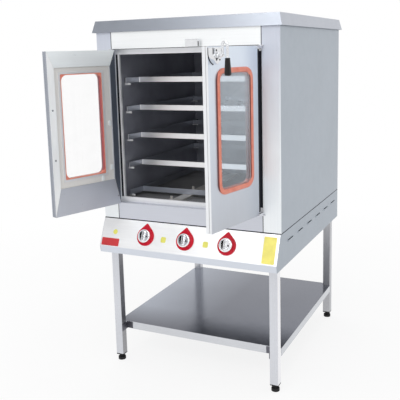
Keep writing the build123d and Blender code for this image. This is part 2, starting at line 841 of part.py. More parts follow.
# Doors. Each leaf is drawn on its own upright plane through the pivot line. Local x runs along
# the leaf, local y is the height and local z points out of the leaf's outer face.
pivot_x = opening_w / 2 + pivot_inset
pivot_y = front_y - pivot_proud
leaf_w = pivot_x - leaf_centre_gap
leaf_low = opening_z + leaf_top_gap
leaf_high = opening_top - leaf_top_gap
outer_n = -pivot_proud
inner_n = outer_n - leaf_t
core_n = outer_n - sheet
glass_back_n = core_n - glass_gap - glass_t
frame_n = inner_n + recess_depth
window_s = stile_hinge
window_w = leaf_w - stile_hinge - stile_free
window_z = leaf_low + rail_low
window_h = leaf_high - leaf_low - rail_low - rail_top
slab_n = outer_n - skin_fold - leaf_groove


def door_plane(side, opened):
    turn = radians(opened)
    return Plane(
        origin=(side * pivot_x, pivot_y, 0),
        x_dir=(cos(turn), side * sin(turn), 0),
        z_dir=(side * sin(turn), -cos(turn), 0),
    )


# A rectangle on a leaf, given from the hinge outwards and from the floor up
def leaf_spot(side, s_low, s_high, z_low, z_high):
    return Locations((-side * (s_low + s_high) / 2, (z_low + z_high) / 2))


def make_outer_skin(side, leaf, name):
    with BuildPart() as skin:
        with BuildSketch(leaf.offset(outer_n)):
            with leaf_spot(side, hinge_strip, leaf_w, leaf_low, leaf_high):
                Rectangle(leaf_w - hinge_strip, leaf_high - leaf_low)
        extrude(amount=-skin_fold)
        with BuildSketch(leaf.offset(core_n)):
            with leaf_spot(side, hinge_strip + sheet, leaf_w - sheet, leaf_low + sheet, leaf_high - sheet):
                Rectangle(leaf_w - hinge_strip - 2 * sheet, leaf_high - leaf_low - 2 * sheet)
        extrude(amount=-skin_fold, mode=Mode.SUBTRACT)
        with BuildSketch(leaf.offset(outer_n)):
            with leaf_spot(side, window_s, window_s + window_w, window_z, window_z + window_h):
                RectangleRounded(window_w, window_h, window_r)
        extrude(amount=-skin_fold, mode=Mode.SUBTRACT)
    skin.part.label = name
    export_step(skin.part, f"parts/{name}.step")


def make_inner_pan(side, leaf, name):
    core_low = leaf_low + groove_depth
    core_high = leaf_high - groove_depth
    core_s = hinge_strip + groove_depth
    core_end = leaf_w - groove_depth
    with BuildPart() as pan:
        with BuildSketch(leaf.offset(inner_n)):
            with leaf_spot(side, leaf_edge_gap, leaf_w, leaf_low, leaf_high):
                Rectangle(leaf_w - leaf_edge_gap, leaf_high - leaf_low)
        extrude(amount=slab_n - inner_n)
        with BuildSketch(leaf.offset(slab_n)):
            with leaf_spot(side, core_s, core_end, core_low, core_high):
                Rectangle(core_end - core_s, core_high - core_low)
        extrude(amount=core_n - slab_n)
        recess_start = window_s - recess_hinge_side
        recess_end = window_s + window_w + recess_free_side
        recess_low = window_z - recess_below
        recess_high = window_z + window_h + recess_above
        with BuildSketch(leaf.offset(inner_n)):
            with leaf_spot(side, recess_start, recess_end, recess_low, recess_high):
                Rectangle(recess_end - recess_start, recess_high - recess_low)
        extrude(amount=recess_depth, mode=Mode.SUBTRACT)
        hole = sleeve_t + seat_gap
        with BuildSketch(leaf.offset(inner_n)):
            with leaf_spot(side, window_s, window_s + window_w, window_z, window_z + window_h):
                RectangleRounded(window_w + 2 * hole, window_h + 2 * hole, sleeve_r + seat_gap)
        extrude(amount=leaf_t, mode=Mode.SUBTRACT)
        pocket = glass_lap + glass_gap
        with BuildSketch(leaf.offset(core_n)):
            with leaf_spot(side, window_s, window_s + window_w, window_z, window_z + window_h):
                RectangleRounded(window_w + 2 * pocket, window_h + 2 * pocket, window_r)
        extrude(amount=-glass_t - glass_gap, mode=Mode.SUBTRACT)
    pan.part.label = name
    export_step(pan.part, f"parts/{name}.step")


def make_glass(side, leaf, name):
    with BuildPart() as glass:
        with BuildSketch(leaf.offset(core_n - glass_gap)):
            with leaf_spot(side, window_s, window_s + window_w, window_z, window_z + window_h):
                RectangleRounded(window_w + 2 * glass_lap, window_h + 2 * glass_lap, window_r)
        extrude(amount=-glass_t)
    glass.part.label = name
    export_step(glass.part, f"parts/{name}.step")


# Window gasket: a fat rounded ring on the outer face and a sleeve that lines the hole behind the glass
def make_gasket(side, leaf, name):
    with BuildPart() as gasket:
        with BuildSketch(leaf.offset(outer_n)):
            with leaf_spot(side, window_s, window_s + window_w, window_z, window_z + window_h):
                RectangleRounded(window_w + 2 * gasket_w, window_h + 2 * gasket_w, window_r + gasket_w)
                RectangleRounded(window_w, window_h, window_r, mode=Mode.SUBTRACT)
        extrude(amount=gasket_h)
        crown = gasket.faces().sort_by(Axis(leaf.origin, leaf.z_dir))[-1]
        fillet(crown.edges(), gasket_h - 1)
        with BuildSketch(leaf.offset(glass_back_n)):
            with leaf_spot(side, window_s, window_s + window_w, window_z, window_z + window_h):
                RectangleRounded(window_w + 2 * sleeve_t, window_h + 2 * sleeve_t, sleeve_r)
                RectangleRounded(window_w, window_h, window_r, mode=Mode.SUBTRACT)
        extrude(amount=frame_n - inner_frame_t - glass_back_n)
    gasket.part.label = name
    export_step(gasket.part, f"parts/{name}.step")


# Inner glass frame: a flat ring in the recess of the inner pan
def make_glass_frame(side, leaf, name):
    hole = sleeve_t + seat_gap
    with BuildPart() as ring:
        with BuildSketch(leaf.offset(frame_n)):
            with leaf_spot(side, window_s, window_s + window_w, window_z, window_z + window_h):
                Rectangle(window_w + 2 * inner_frame_w, window_h + 2 * inner_frame_w)
                RectangleRounded(
                    window_w + 2 * hole, window_h + 2 * hole, sleeve_r + seat_gap, mode=Mode.SUBTRACT
                )
        extrude(amount=-inner_frame_t)
    ring.part.label = name
    export_step(ring.part, f"parts/{name}.step")


# Door pivots: a lug at each end of the leaf with a pin on the pivot line
def make_pivots(side, leaf, name):
    with BuildPart() as pivots:
        for end, up in ((leaf_low, -1), (leaf_high, 1)):
            cap = Plane(origin=leaf.from_local_coords((0, end, 0)), x_dir=leaf.x_dir, z_dir=(0, 0, up))
            strap = lug_len - pin_boss_r
            with BuildSketch(cap):
                Circle(pin_boss_r)
                with Locations((-side * pin_boss_r / 2, 0)):
                    Rectangle(pin_boss_r, 2 * pin_boss_r)
                with Locations((-side * (pin_boss_r + strap / 2), -up * (outer_n + pin_boss_r) / 2)):
                    Rectangle(strap, pin_boss_r - outer_n)
            extrude(amount=-lug_h)
            with BuildSketch(cap):
                Circle(pin_r)
            extrude(amount=bracket_t + bracket_gap)
    pivots.part.label = name
    export_step(pivots.part, f"parts/{name}.step")


def make_door(side, opened, hand):
    leaf = door_plane(side, opened)
    make_outer_skin(side, leaf, f"door_{hand}_outer_skin")
    make_inner_pan(side, leaf, f"door_{hand}_inner_pan")
    make_glass(side, leaf, f"door_{hand}_glass")
    make_gasket(side, leaf, f"door_{hand}_gasket")
    make_glass_frame(side, leaf, f"door_{hand}_glass_frame")
    make_pivots(side, leaf, f"door_{hand}_pivots")


make_door(-1, left_open_angle, "left")
make_door(1, right_open_angle, "right")


# Hinge brackets: small ears on the front of the body that hold the pins
with BuildPart() as hinge_brackets:
    for end, up in ((leaf_low, -1), (leaf_high, 1)):
        with BuildSketch(Plane.XY.offset(end + up * bracket_gap)):
            for side in sides:
                with Locations((side * pivot_x, front_y - bracket_out / 2)):
                    Rectangle(bracket_w, bracket_out)
        extrude(amount=up * bracket_t)
        with BuildSketch(Plane.XY.offset(end + up * bracket_gap)):
            for side in sides:
                with Locations((side * pivot_x, pivot_y)):
                    Circle(pin_r + running_gap)
        extrude(amount=up * bracket_t, mode=Mode.SUBTRACT)
    fillet(hinge_brackets.edges().filter_by(Axis.Z).group_by(Axis.Y)[0], bracket_out / 3)
hinge_brackets.part.label = "hinge_brackets"
export_step(hinge_brackets.part, "parts/hinge_brackets.step")

# Handle axis on the right leaf: local x points to the hinge, y up and z out of the leaf
handle_s = leaf_w - handle_edge
handle_z = leaf_high - handle_drop
right_leaf = door_plane(1, right_open_angle)
handle = Plane(
    origin=right_leaf.from_local_coords((-handle_s, handle_z, 0)),
    x_dir=right_leaf.x_dir,
    z_dir=right_leaf.z_dir,
)

# Shield outline of the rosette: straight above, two curves that meet in a point below
with BuildSketch() as shield:
    half_w = rosette_w / 2
    cheek_x = rosette_w * 0.36
    cheek_y = -rosette_down * 0.45
    with BuildLine():
        top_edge = Line((-half_w, rosette_up), (half_w, rosette_up))
        right_side = Line(top_edge @ 1, (half_w, rosette_waist))
        right_curve = ThreePointArc(right_side @ 1, (cheek_x, cheek_y), (0, -rosette_down))
        left_curve = ThreePointArc(right_curve @ 1, (-cheek_x, cheek_y), (-half_w, rosette_waist))
        Line(left_curve @ 1, top_edge @ 0)
    make_face()

# Handle rosette: a shield-shaped lock case with a slot for the latch tongue
with BuildPart() as handle_rosette:
    slot_edge = tongue_hub_r + tongue_gap
    with BuildSketch(handle.offset(outer_n)):
        add(shield.sketch)
    extrude(amount=rosette_depth - rosette_chamfer)
    with BuildSketch(handle.offset(outer_n + rosette_depth - rosette_chamfer)):
        add(shield.sketch)
    extrude(amount=rosette_chamfer, taper=45)
    with BuildSketch(handle.offset(tongue_level - tongue_gap)):
        with Locations((rosette_w / 2 - slot_edge / 2, rosette_up - slot_edge / 2)):
            Rectangle(rosette_w + slot_edge, 2 * rosette_up + slot_edge)
    extrude(amount=tongue_t + 2 * tongue_gap, mode=Mode.SUBTRACT)
    with BuildSketch(handle.offset(tongue_level)):
        Circle(spindle_r + running_gap)
    extrude(amount=rosette_depth, mode=Mode.SUBTRACT)
handle_rosette.part.label = "handle_rosette"
export_step(handle_rosette.part, "parts/handle_rosette.step")

# Latch tongue: a flat bar on the spindle that swings up into the strike
with BuildPart() as latch_tongue:
    with BuildSketch(handle.offset(tongue_level)):
        Circle(tongue_hub_r)
        with Locations(((tongue_len - tongue_w / 2) / 2, 0)):
            Rectangle(tongue_len - tongue_w / 2, tongue_w)
        with Locations((tongue_len - tongue_w / 2, 0)):
            Circle(tongue_w / 2)
    extrude(amount=tongue_t)
latch_tongue.part.label = "latch_tongue"
export_step(latch_tongue.part, "parts/latch_tongue.step")

# Handle lever: spindle, collar and a swan-neck arm that turns down to the grip
with BuildPart() as handle_lever:
    collar_n = outer_n + rosette_depth + seat_gap
    with BuildSketch(handle.offset(tongue_level + tongue_t)):
        Circle(spindle_r)
    extrude(amount=collar_n - tongue_level - tongue_t)
    with BuildSketch(handle.offset(collar_n)):
        Circle(collar_r)
    extrude(amount=collar_h)
    collar_face = handle_lever.faces().sort_by(Axis(handle.origin, handle.z_dir))[-1]
    fillet(collar_face.edges(), collar_round)
    neck_plane = Plane(origin=handle.origin, x_dir=handle.z_dir, z_dir=handle.z_dir.cross(Vector(0, 0, 1)))
    with BuildLine(neck_plane) as neck:
        FilletPolyline(
            (collar_n + collar_h / 2, 0),
            (arm_out, 0),
            (arm_out, arm_rise),
            (grip_out, arm_rise),
            (grip_out, -grip_top),
            radius=arm_bend_r,
        )
    with BuildSketch(Plane(origin=neck.line @ 0, z_dir=neck.line % 0)):
        Circle(arm_r)
    sweep(path=neck.line)
handle_lever.part.label = "handle_lever"
export_step(handle_lever.part, "parts/handle_lever.step")

# Handle grip: a tapered bar, wider and rounded at its lower end
with BuildPart() as handle_grip:
    grip_start = neck_plane.from_local_coords((grip_out, -grip_top, 0))
    grip_plane = Plane(origin=grip_start, x_dir=handle.x_dir, z_dir=(0, 0, -1))
    with BuildSketch(grip_plane):
        Circle(grip_top_r)
    with BuildSketch(grip_plane.offset(grip_len)):
        Circle(grip_end_r)
    loft()
    fillet(handle_grip.edges().group_by(Axis.Z)[0], grip_round)
handle_grip.part.label = "handle_grip"
export_step(handle_grip.part, "parts/handle_grip.step")

# Door strike: a channel on the upper fascia, open below and at both ends
with BuildPart() as door_strike:
    strike_depth = strike_floor + strike_gap + strike_lip
    with BuildSketch(Plane.YZ.offset(strike_x - strike_w / 2)):
        with Locations((front_y - strike_depth / 2, strike_z + strike_h / 2)):
            Rectangle(strike_depth, strike_h)
        with Locations((front_y - strike_floor - strike_gap / 2, strike_z + (strike_h - strike_cap) / 2)):
            Rectangle(strike_gap, strike_h - strike_cap, mode=Mode.SUBTRACT)
    extrude(amount=strike_w)
    fillet(door_strike.edges().filter_by(Axis.X).group_by(Axis.Y)[0].sort_by(Axis.Z)[-1], strike_round)
door_strike.part.label = "door_strike"
export_step(door_strike.part, "parts/door_strike.step")

# Screws on the back panel
with BuildPart() as body_screws:
    screw_low = base_z + control_h / 4
    screw_high = roof_z - fascia_h / 2
    with BuildSketch(Plane.XZ.offset(-back_y)):
        with Locations((0, (screw_low + screw_high) / 2)):
            with GridLocations(leg_pitch_x, (screw_high - screw_low) / 3, 2, 4):
                Circle(screw_r)
    extrude(amount=-screw_h)
    fillet(body_screws.edges().group_by(Axis.Y)[-1], screw_round)
body_screws.part.label = "body_screws"
export_step(body_screws.part, "parts/body_screws.step")
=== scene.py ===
import json
import math

import bmesh
import bpy
from mathutils import Matrix, Vector


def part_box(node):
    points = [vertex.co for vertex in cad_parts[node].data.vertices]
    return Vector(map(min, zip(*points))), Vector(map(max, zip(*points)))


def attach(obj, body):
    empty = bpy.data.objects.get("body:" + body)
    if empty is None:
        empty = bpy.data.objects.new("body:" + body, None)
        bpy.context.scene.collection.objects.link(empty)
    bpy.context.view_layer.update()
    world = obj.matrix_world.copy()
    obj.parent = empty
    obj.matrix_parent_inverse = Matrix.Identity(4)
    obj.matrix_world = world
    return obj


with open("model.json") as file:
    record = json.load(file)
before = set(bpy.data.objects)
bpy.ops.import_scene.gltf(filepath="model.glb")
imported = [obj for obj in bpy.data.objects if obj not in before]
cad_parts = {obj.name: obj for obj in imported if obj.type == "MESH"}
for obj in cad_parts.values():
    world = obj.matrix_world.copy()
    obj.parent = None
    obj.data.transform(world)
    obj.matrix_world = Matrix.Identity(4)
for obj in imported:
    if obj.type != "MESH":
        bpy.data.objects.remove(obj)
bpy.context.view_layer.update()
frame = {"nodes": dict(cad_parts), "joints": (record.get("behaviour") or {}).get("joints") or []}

nodes = frame["nodes"]
joints = {joint["name"]: joint for joint in frame["joints"]}

# Faces and edges of the oven, in metres, that the tones and the dressing pieces sit on
front_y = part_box("upper_fascia")[0].y
seam_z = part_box("lower_fascia")[0].z
opening_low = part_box("lower_fascia")[1].z
opening_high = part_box("upper_fascia")[0].z
roof_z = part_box("lid")[0].z
base_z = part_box("control_housing")[0].z
body_half_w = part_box("side_panel_right")[1].x
back_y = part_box("back_panel")[1].y
opening_half_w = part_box("column_right")[0].x
ring_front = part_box("cavity_front_frame")[0].y
leg_inner_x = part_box("leg_front_right")[0].x

# Control panel: depth and height of its slope, the band where painted shade on its lip begins, and its knobs
slope_out = 0.058
slope_drop = 0.126
lip_shade_top = 0.619
lip_shade_bottom = 0.615
knob_pitch = 0.208
knob_down = 0.072
knob_crown = 0.0223
ridge_face = 0.0303

# Door leaves: degrees from shut, places from the hinge, heights, and faces outwards from its axis
leaf_open = {"left": 109.0, "right": 78.5}
leaf_side = {"left": -1, "right": 1}
leaf_low, leaf_high = (corner.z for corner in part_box("door_right_outer_skin"))
leaf_height = leaf_high - leaf_low
leaf_mid = (leaf_high + leaf_low) / 2
leaf_start = 0.003
leaf_end = 0.367
hinge_strip_end = 0.020
outer_face = -0.006
groove_face = -0.018
recess_face = -0.027
inner_face = -0.033
recess_start, recess_end = 0.033, 0.333
recess_low, recess_high = 0.949, 1.477
handle_along = 0.336
handle_height = 1.512
rosette_face = 0.019

# Axes and directions
axis_x, axis_y, axis_z = 0, 1, 2
to_right, to_left, to_front = (1, 0, 0), (-1, 0, 0), (0, -1, 0)
up = Vector((0, 0, 1))


def linear(red, green, blue):
    """A screen colour from 0 to 255 as a linear colour."""
    parts = []
    for value in (red, green, blue):
        share = value / 255
        parts.append(share / 12.92 if share <= 0.04045 else ((share + 0.055) / 1.055) ** 2.4)
    return (*parts, 1.0)


def tint(colour, factor):
    """A lighter or darker shade of a linear colour."""
    return (colour[0] * factor, colour[1] * factor, colour[2] * factor, 1.0)


# Socket places of a colour mix node, and how squarely a face looks along a direction to count fully
mix_first, mix_second, mix_result = 6, 7, 2
face_full, face_fade = 0.85, 0.15


class Shader:
    """A new node material with its principled shader and a shortcut for adding nodes."""

    def __init__(self, name):
        self.material = bpy.data.materials.new(name)
        self.material.use_nodes = True
        self.tree = self.material.node_tree
        self.main = self.tree.nodes["Principled BSDF"]

    def add(self, kind, **values):
        """A new node, with each value set on the input of that name or else on the node itself."""
        node = self.tree.nodes.new(kind)
        for key, value in values.items():
            if key in node.inputs:
                node.inputs[key].default_value = value
            else:
                setattr(node, key, value)
        return node

    def link(self, source, target):
        self.tree.links.new(source, target)

    def link_or_set(self, source, target):
        if isinstance(source, bpy.types.NodeSocket):
            self.link(source, target)
        else:
            target.default_value = source

    def put(self, input_name, source):
        """Sets an input of the principled shader to a value or to another node's output."""
        self.link_or_set(source, self.main.inputs[input_name])

    def coordinates(self, scale=(1, 1, 1)):
        place = self.add("ShaderNodeTexCoord")
        mapping = self.add("ShaderNodeMapping", Scale=scale)
        self.link(place.outputs["Object"], mapping.inputs["Vector"])
        return mapping.outputs["Vector"]

    def noise(self, scale, stretch=(1, 1, 1), detail=4.0, rough=0.55):
        node = self.add("ShaderNodeTexNoise", Scale=scale, Detail=detail, Roughness=rough)
        self.link(self.coordinates(stretch), node.inputs["Vector"])
        return node.outputs["Fac"]

    def spread(self, source, low, high, from_low=0.3, from_high=0.7):
        """Maps a source from its own range, by default the middle of a noise, to low and high."""
        node = self.add("ShaderNodeMapRange")
        node.inputs["From Min"].default_value = from_low
        node.inputs["From Max"].default_value = from_high
        node.inputs["To Min"].default_value = low
        node.inputs["To Max"].default_value = high
        self.link(source, node.inputs["Value"])
        return node.outputs["Result"]

    def ramp(self, axis, low, high):
        """0 to 1 as the place on the object moves from low to high along one axis."""
        place = self.add("ShaderNodeTexCoord")
        parts = self.add("ShaderNodeSeparateXYZ")
        self.link(place.outputs["Object"], parts.inputs[0])
        return self.spread(parts.outputs[axis], 0.0, 1.0, low, high)

    def facing(self, direction):
        """1 on the faces that look along a direction of the object, 0 on the others."""
        place = self.add("ShaderNodeTexCoord")
        dot = self.add("ShaderNodeVectorMath", operation="DOT_PRODUCT")
        self.link(place.outputs["Normal"], dot.inputs[0])
        dot.inputs[1].default_value = direction
        return self.spread(dot.outputs["Value"], 0.0, 1.0, face_full - face_fade, face_full)

    def blend(self, factor, first, second, mode="MIX"):
        node = self.add("ShaderNodeMix", data_type="RGBA", blend_type=mode)
        self.link_or_set(factor, node.inputs[0])
        self.link_or_set(first, node.inputs[mix_first])
        self.link_or_set(second, node.inputs[mix_second])
        return node.outputs[mix_result]

    def mottle(self, source, first, second):
        """Changes between two tones with a noise."""
        return self.blend(self.spread(source, 0.0, 1.0), first, second)

    def bump(self, height, strength, distance, soften=0.0):
        """Surface relief from a noise, with edges softened by a radius where one is given."""
        node = self.add("ShaderNodeBump", Strength=strength, Distance=distance)
        self.link(height, node.inputs["Height"])
        if soften > 0:
            edge = self.add("ShaderNodeBevel", samples=4, Radius=soften)
            self.link(edge.outputs["Normal"], node.inputs["Normal"])
        self.put("Normal", node.outputs["Normal"])


# Noise scales along x, y and z for each way that brushed lines run, and what the lines do to the gloss
grain_stretch = {"level": (5, 5, 700), "x": (5, 700, 700), "upright": (700, 700, 5)}
heated_stretch = (6, 600, 600)
line_gloss = 0.04
speck_low, speck_high = -0.02, 0.03
white = (1.0, 1.0, 1.0, 1.0)


def steel(
    name, colour, roughness, grain_axis, metallic=0.9, grain=0.05, patch=0.08, soften=0.0012, light_shade_zones=()
):
    """Brushed sheet: fine lines along one axis, faint cloudy patches and rounded folds.

    A zone is a tone of painted light or shade, with either an axis and two places between which it comes in,
    or the direction of the faces that carry it, which spreads further when it is longer than 1.
    """
    shader = Shader(name)
    for tone, *where in light_shade_zones:
        factor = shader.ramp(*where) if len(where) == 3 else shader.facing(where[0])
        colour = shader.blend(factor, colour, tone)
    lines = shader.noise(1.0, grain_stretch[grain_axis], detail=3.0)
    clouds = shader.noise(2.3, detail=3.0)
    specks = shader.noise(22.0, detail=4.0)
    brushed = shader.mottle(lines, tint(white, 1.0 - grain), white)
    cloudy = shader.mottle(clouds, tint(white, 1.0 - patch), white)
    toned = shader.blend(1.0, colour, brushed, "MULTIPLY")
    shader.put("Base Color", shader.blend(1.0, toned, cloudy, "MULTIPLY"))
    shader.put("Metallic", metallic)
    worn = shader.add("ShaderNodeMath", operation="ADD")
    shader.link(shader.spread(lines, roughness - line_gloss, roughness + line_gloss), worn.inputs[0])
    shader.link(shader.spread(specks, speck_low, speck_high), worn.inputs[1])
    shader.put("Roughness", worn.outputs[0])
    shader.bump(lines, strength=0.04, distance=0.0002, soften=soften)
    return shader.material


def heated_steel(name, colour, roughness, stain):
    """Cavity sheet darkened by heat, with smoky patches and a dull grain."""
    shader = Shader(name)
    clouds = shader.noise(3.2, detail=6.0, rough=0.62)
    lines = shader.noise(1.0, heated_stretch, detail=3.0)
    mixed = shader.mottle(clouds, colour, stain)
    shader.put("Base Color", shader.blend(shader.spread(lines, 0.0, 0.25), mixed, tint(stain, 0.6)))
    shader.put("Metallic", 0.3)
    shader.put("Roughness", shader.spread(clouds, roughness - 0.08, roughness + 0.12))
    shader.bump(lines, strength=0.12, distance=0.0005, soften=0.0012)
    return shader.material


def chrome(name, colour, roughness):
    """Polished plating with faint swirls and finger marks."""
    shader = Shader(name)
    marks = shader.noise(90.0, detail=5.0)
    swirl = shader.noise(14.0, detail=2.0)
    shader.put("Base Color", shader.mottle(marks, tint(colour, 0.94), colour))
    shader.put("Metallic", 1.0)
    shader.put("Roughness", shader.spread(marks, roughness, roughness + 0.04))
    shader.bump(swirl, strength=0.02, distance=0.0004, soften=0.0008)
    return shader.material


def moulded(name, colour, roughness, coat=0.0, grain_scale=900.0, grain_depth=0.0001, shine=0.5):
    """Plastic, rubber or film with a fine moulded grain and slight tone changes."""
    shader = Shader(name)
    grain = shader.noise(grain_scale, detail=2.0)
    tone = shader.noise(22.0, detail=3.0)
    shader.put("Base Color", shader.mottle(tone, tint(colour, 0.90), tint(colour, 1.06)))
    shader.put("Roughness", shader.spread(tone, roughness - 0.03, roughness + 0.06))
    shader.put("Specular IOR Level", shine)
    shader.put("Coat Weight", coat)
    shader.put("Coat Roughness", 0.06)
    shader.bump(grain, strength=0.25, distance=grain_depth, soften=0.0008)
    return shader.material


def silicone(name, colour, bloom_tone, lip, lip_direction):
    """Soft gasket rubber: a little light passes in, with a dusty bloom and painted shade on its inner lip.
    """
    shader = Shader(name)
    bloom = shader.noise(35.0, detail=4.0)
    grain = shader.noise(500.0, detail=2.0)
    dusty = shader.mottle(bloom, colour, bloom_tone)
    shader.put("Base Color", shader.blend(shader.facing(lip_direction), dusty, lip))
    shader.put("Roughness", shader.spread(bloom, 0.38, 0.5))
    shader.put("Subsurface Weight", 0.12)
    shader.put("Subsurface Scale", 0.004)
    shader.bump(grain, strength=0.2, distance=0.0002)
    return shader.material


window_fade_low, window_fade_high = 1.00, 1.40


def window_glass(name, colour, clear_low, clear_high, film):
    """Oven glass with a thin film of smears, clear by one share low down and another higher up."""
    shader = Shader(name)
    smear = shader.noise(9.0, (1, 1, 2.4), detail=5.0, rough=0.6)
    shader.put("Base Color", colour)
    shader.put("Roughness", shader.spread(smear, 0.0, 0.02))
    height = shader.ramp(axis_z, window_fade_low, window_fade_high)
    clear = shader.add("ShaderNodeMath", operation="SUBTRACT")
    shader.link(shader.spread(height, clear_low, clear_high, 0.0, 1.0), clear.inputs[0])
    shader.link(shader.spread(smear, 0.0, film), clear.inputs[1])
    shader.put("Transmission Weight", clear.outputs[0])
    shader.put("IOR", 1.3)
    shader.bump(smear, strength=0.02, distance=0.0002)
    return shader.material


def wool(name, colour):
    """Mineral wool: matted fibres with coarse lumps."""
    shader = Shader(name)
    fibre = shader.noise(260.0, (1, 1, 3), detail=6.0, rough=0.7)
    shader.put("Base Color", shader.mottle(fibre, tint(colour, 0.7), tint(colour, 1.15)))
    shader.put("Roughness", 0.95)
    shader.bump(fibre, strength=0.8, distance=0.003)
    return shader.material


# Places between which painted reflection and shade come in on the lid, the columns and the shelf
lid_reflection_start, lid_reflection_end = -0.05, 0.42
column_reflection_low, column_reflection_high = 1.10, 1.64
shelf_left, shelf_middle = -0.42, 0.0
shelf_inside, shelf_front = -0.20, -0.42

# Materials of the oven
lid_right_face_light = linear(190, 194, 203)
shelf_side_light = linear(208, 211, 217)
# Painted reflection on the lid: lighter towards the right of its front, with painted light on its right face
lid_steel = steel(
    "lid_steel", linear(158, 163, 172), 0.38, "level", grain=0.03, patch=0.03,
    light_shade_zones=((linear(172, 177, 186), axis_x, lid_reflection_start, lid_reflection_end), (lid_right_face_light, to_right)),
)
side_steel = steel("side_steel", linear(177, 185, 194), 0.42, "upright", patch=0.05)
# Painted reflection on the columns: darker towards the top
front_steel = steel(
    "front_steel", linear(248, 252, 255), 0.36, "upright", metallic=0.6, patch=0.05,
    light_shade_zones=((linear(206, 211, 224), axis_z, column_reflection_low, column_reflection_high),),
)
fascia_steel = steel("fascia_steel", linear(252, 254, 255), 0.34, "level", patch=0.02)
sill_steel = steel("sill_steel", linear(210, 213, 222), 0.34, "level", patch=0.05)
# Painted shade on the control panel's lip: darker below the band where the lip begins
panel_steel = steel(
    "panel_steel", linear(253, 254, 255), 0.36, "level", patch=0.02,
    light_shade_zones=((linear(222, 227, 236), axis_z, lip_shade_top, lip_shade_bottom),),
)
# Painted light and shade on the inner sheets of the door leaves: the top rail and the free stile lit, the
# bottom rail and the hinge stile shaded; the window clips take the lit rail tone
rail_painted_light = steel("rail_painted_light", linear(248, 253, 255), 0.32, "level", metallic=0.3, patch=0.12)
low_rail_painted_shade = steel("low_rail_painted_shade", linear(196, 200, 210), 0.32, "level", metallic=0.5, patch=0.12)
stile_painted_light = steel("stile_painted_light", linear(252, 254, 255), 0.32, "upright", metallic=0.2, patch=0.04)
stile_painted_shade = steel("stile_painted_shade", linear(104, 112, 126), 0.34, "upright", metallic=0.6, patch=0.25)
frame_steel = steel("frame_steel", linear(240, 241, 244), 0.34, "level", metallic=0.5, patch=0.12)
peg_steel = steel(
    "peg_steel", linear(255, 255, 255), 0.28, "x", metallic=0.1, grain=0.03, patch=0.03, soften=0.0004
)
# Painted reflection and shade on the shelf: its top darker from the left towards the middle and towards the
# front, with painted light on its front lip and its side faces
shelf_steel = steel(
    "shelf_steel", linear(172, 178, 190), 0.17, "x", metallic=0.8, patch=0.08, soften=0.0015,
    light_shade_zones=(
        (linear(122, 125, 136), axis_x, shelf_left, shelf_middle),
        (linear(106, 108, 118), axis_y, shelf_inside, shelf_front),
        (linear(216, 218, 223), to_front),
        (shelf_side_light, to_right),
        (shelf_side_light, to_left),
    ),
)
hinge_steel = steel("hinge_steel", linear(226, 227, 232), 0.26, "upright", soften=0.0006)
screw_steel = steel("screw_steel", linear(160, 162, 168), 0.32, "x", soften=0.0004)
pipe_steel = steel("pipe_steel", linear(112, 112, 120), 0.40, "x")
# Painted shade: the sheet under the body is made dark to stand for the shade beneath the oven
underside_painted_shade = steel("underside_painted_shade", linear(92, 94, 101), 0.5, "x", patch=0.2)
liner_steel = heated_steel("liner_steel", linear(164, 166, 176), 0.40, linear(132, 134, 146))
floor_steel = heated_steel("floor_steel", linear(150, 150, 150), 0.42, linear(98, 97, 98))
burner_steel = heated_steel("burner_steel", linear(226, 224, 220), 0.38, linear(160, 156, 150))
chrome_plate = chrome("chrome_plate", (0.80, 0.81, 0.83, 1.0), 0.09)
knob_chrome = chrome("knob_chrome", (0.93, 0.94, 0.96, 1.0), 0.16)
brass = chrome("brass", linear(196, 160, 92), 0.22)
red_gloss = moulded("red_gloss", linear(206, 4, 40), 0.26, grain_scale=300.0, shine=0.3)
black_gloss = moulded("black_gloss", linear(8, 8, 10), 0.12, grain_scale=400.0, shine=0.35)
black_matt = moulded("black_matt", linear(24, 24, 26), 0.55, grain_depth=0.0003, shine=0.3)
# Dark rubber for the seal strips, also used for dark pieces that paint shade: the hinge strip, the widened
# ring strip and the shadow line round the rosette
dark_seal_and_shade = moulded("dark_seal_and_shade", linear(26, 28, 38), 0.60, grain_depth=0.0003, shine=0.2)
seam_shadow = moulded("seam_shadow", linear(34, 35, 44), 0.70, grain_depth=0.0002, shine=0.1)
yellow_film = moulded("yellow_film", linear(253, 242, 132), 0.40, grain_scale=500.0, shine=0.3)
pale_yellow_film = moulded("pale_yellow_film", linear(238, 234, 112), 0.36, grain_scale=500.0)
red_film = moulded("red_film", linear(206, 44, 50), 0.30, coat=0.2, grain_scale=500.0)
window_glasses = {
    "left": window_glass("window_glass_left", linear(255, 255, 255), 1.0, 1.0, 0.02),
    "right": window_glass("window_glass_right", linear(238, 247, 255), 0.93, 0.72, 0.06),
}
mineral_wool = wool("mineral_wool_fibre", linear(176, 160, 116))

node_materials = {
    "lid": lid_steel,
    "side_panel_left": side_steel,
    "side_panel_right": side_steel,
    "back_panel": side_steel,
    "control_housing": side_steel,
    "column_left": front_steel,
    "column_right": front_steel,
    "upper_fascia": fascia_steel,
    "lower_fascia": sill_steel,
    "control_panel": panel_steel,
    "door_strike": chrome_plate,
    "cavity_liner": liner_steel,
    "cavity_floor": floor_steel,
    "cavity_front_frame": frame_steel,
    "insulation": mineral_wool,
    "burner_left": burner_steel,
    "burner_right": burner_steel,
    "rack_pegs": peg_steel,
    "knob_bezels": red_gloss,
    "gas_valves": brass,
    "gas_inlet": brass,
    "gas_manifold": pipe_steel,
    "burner_feeds": pipe_steel,
    "leg_inserts": black_matt,
    "under_shelf": shelf_steel,
    "shelf_brackets": pipe_steel,
    "body_screws": screw_steel,
    "hinge_brackets": hinge_steel,
    "handle_rosette": chrome_plate,
    "handle_lever": chrome_plate,
    "latch_tongue": chrome_plate,
    "handle_grip": black_gloss,
}
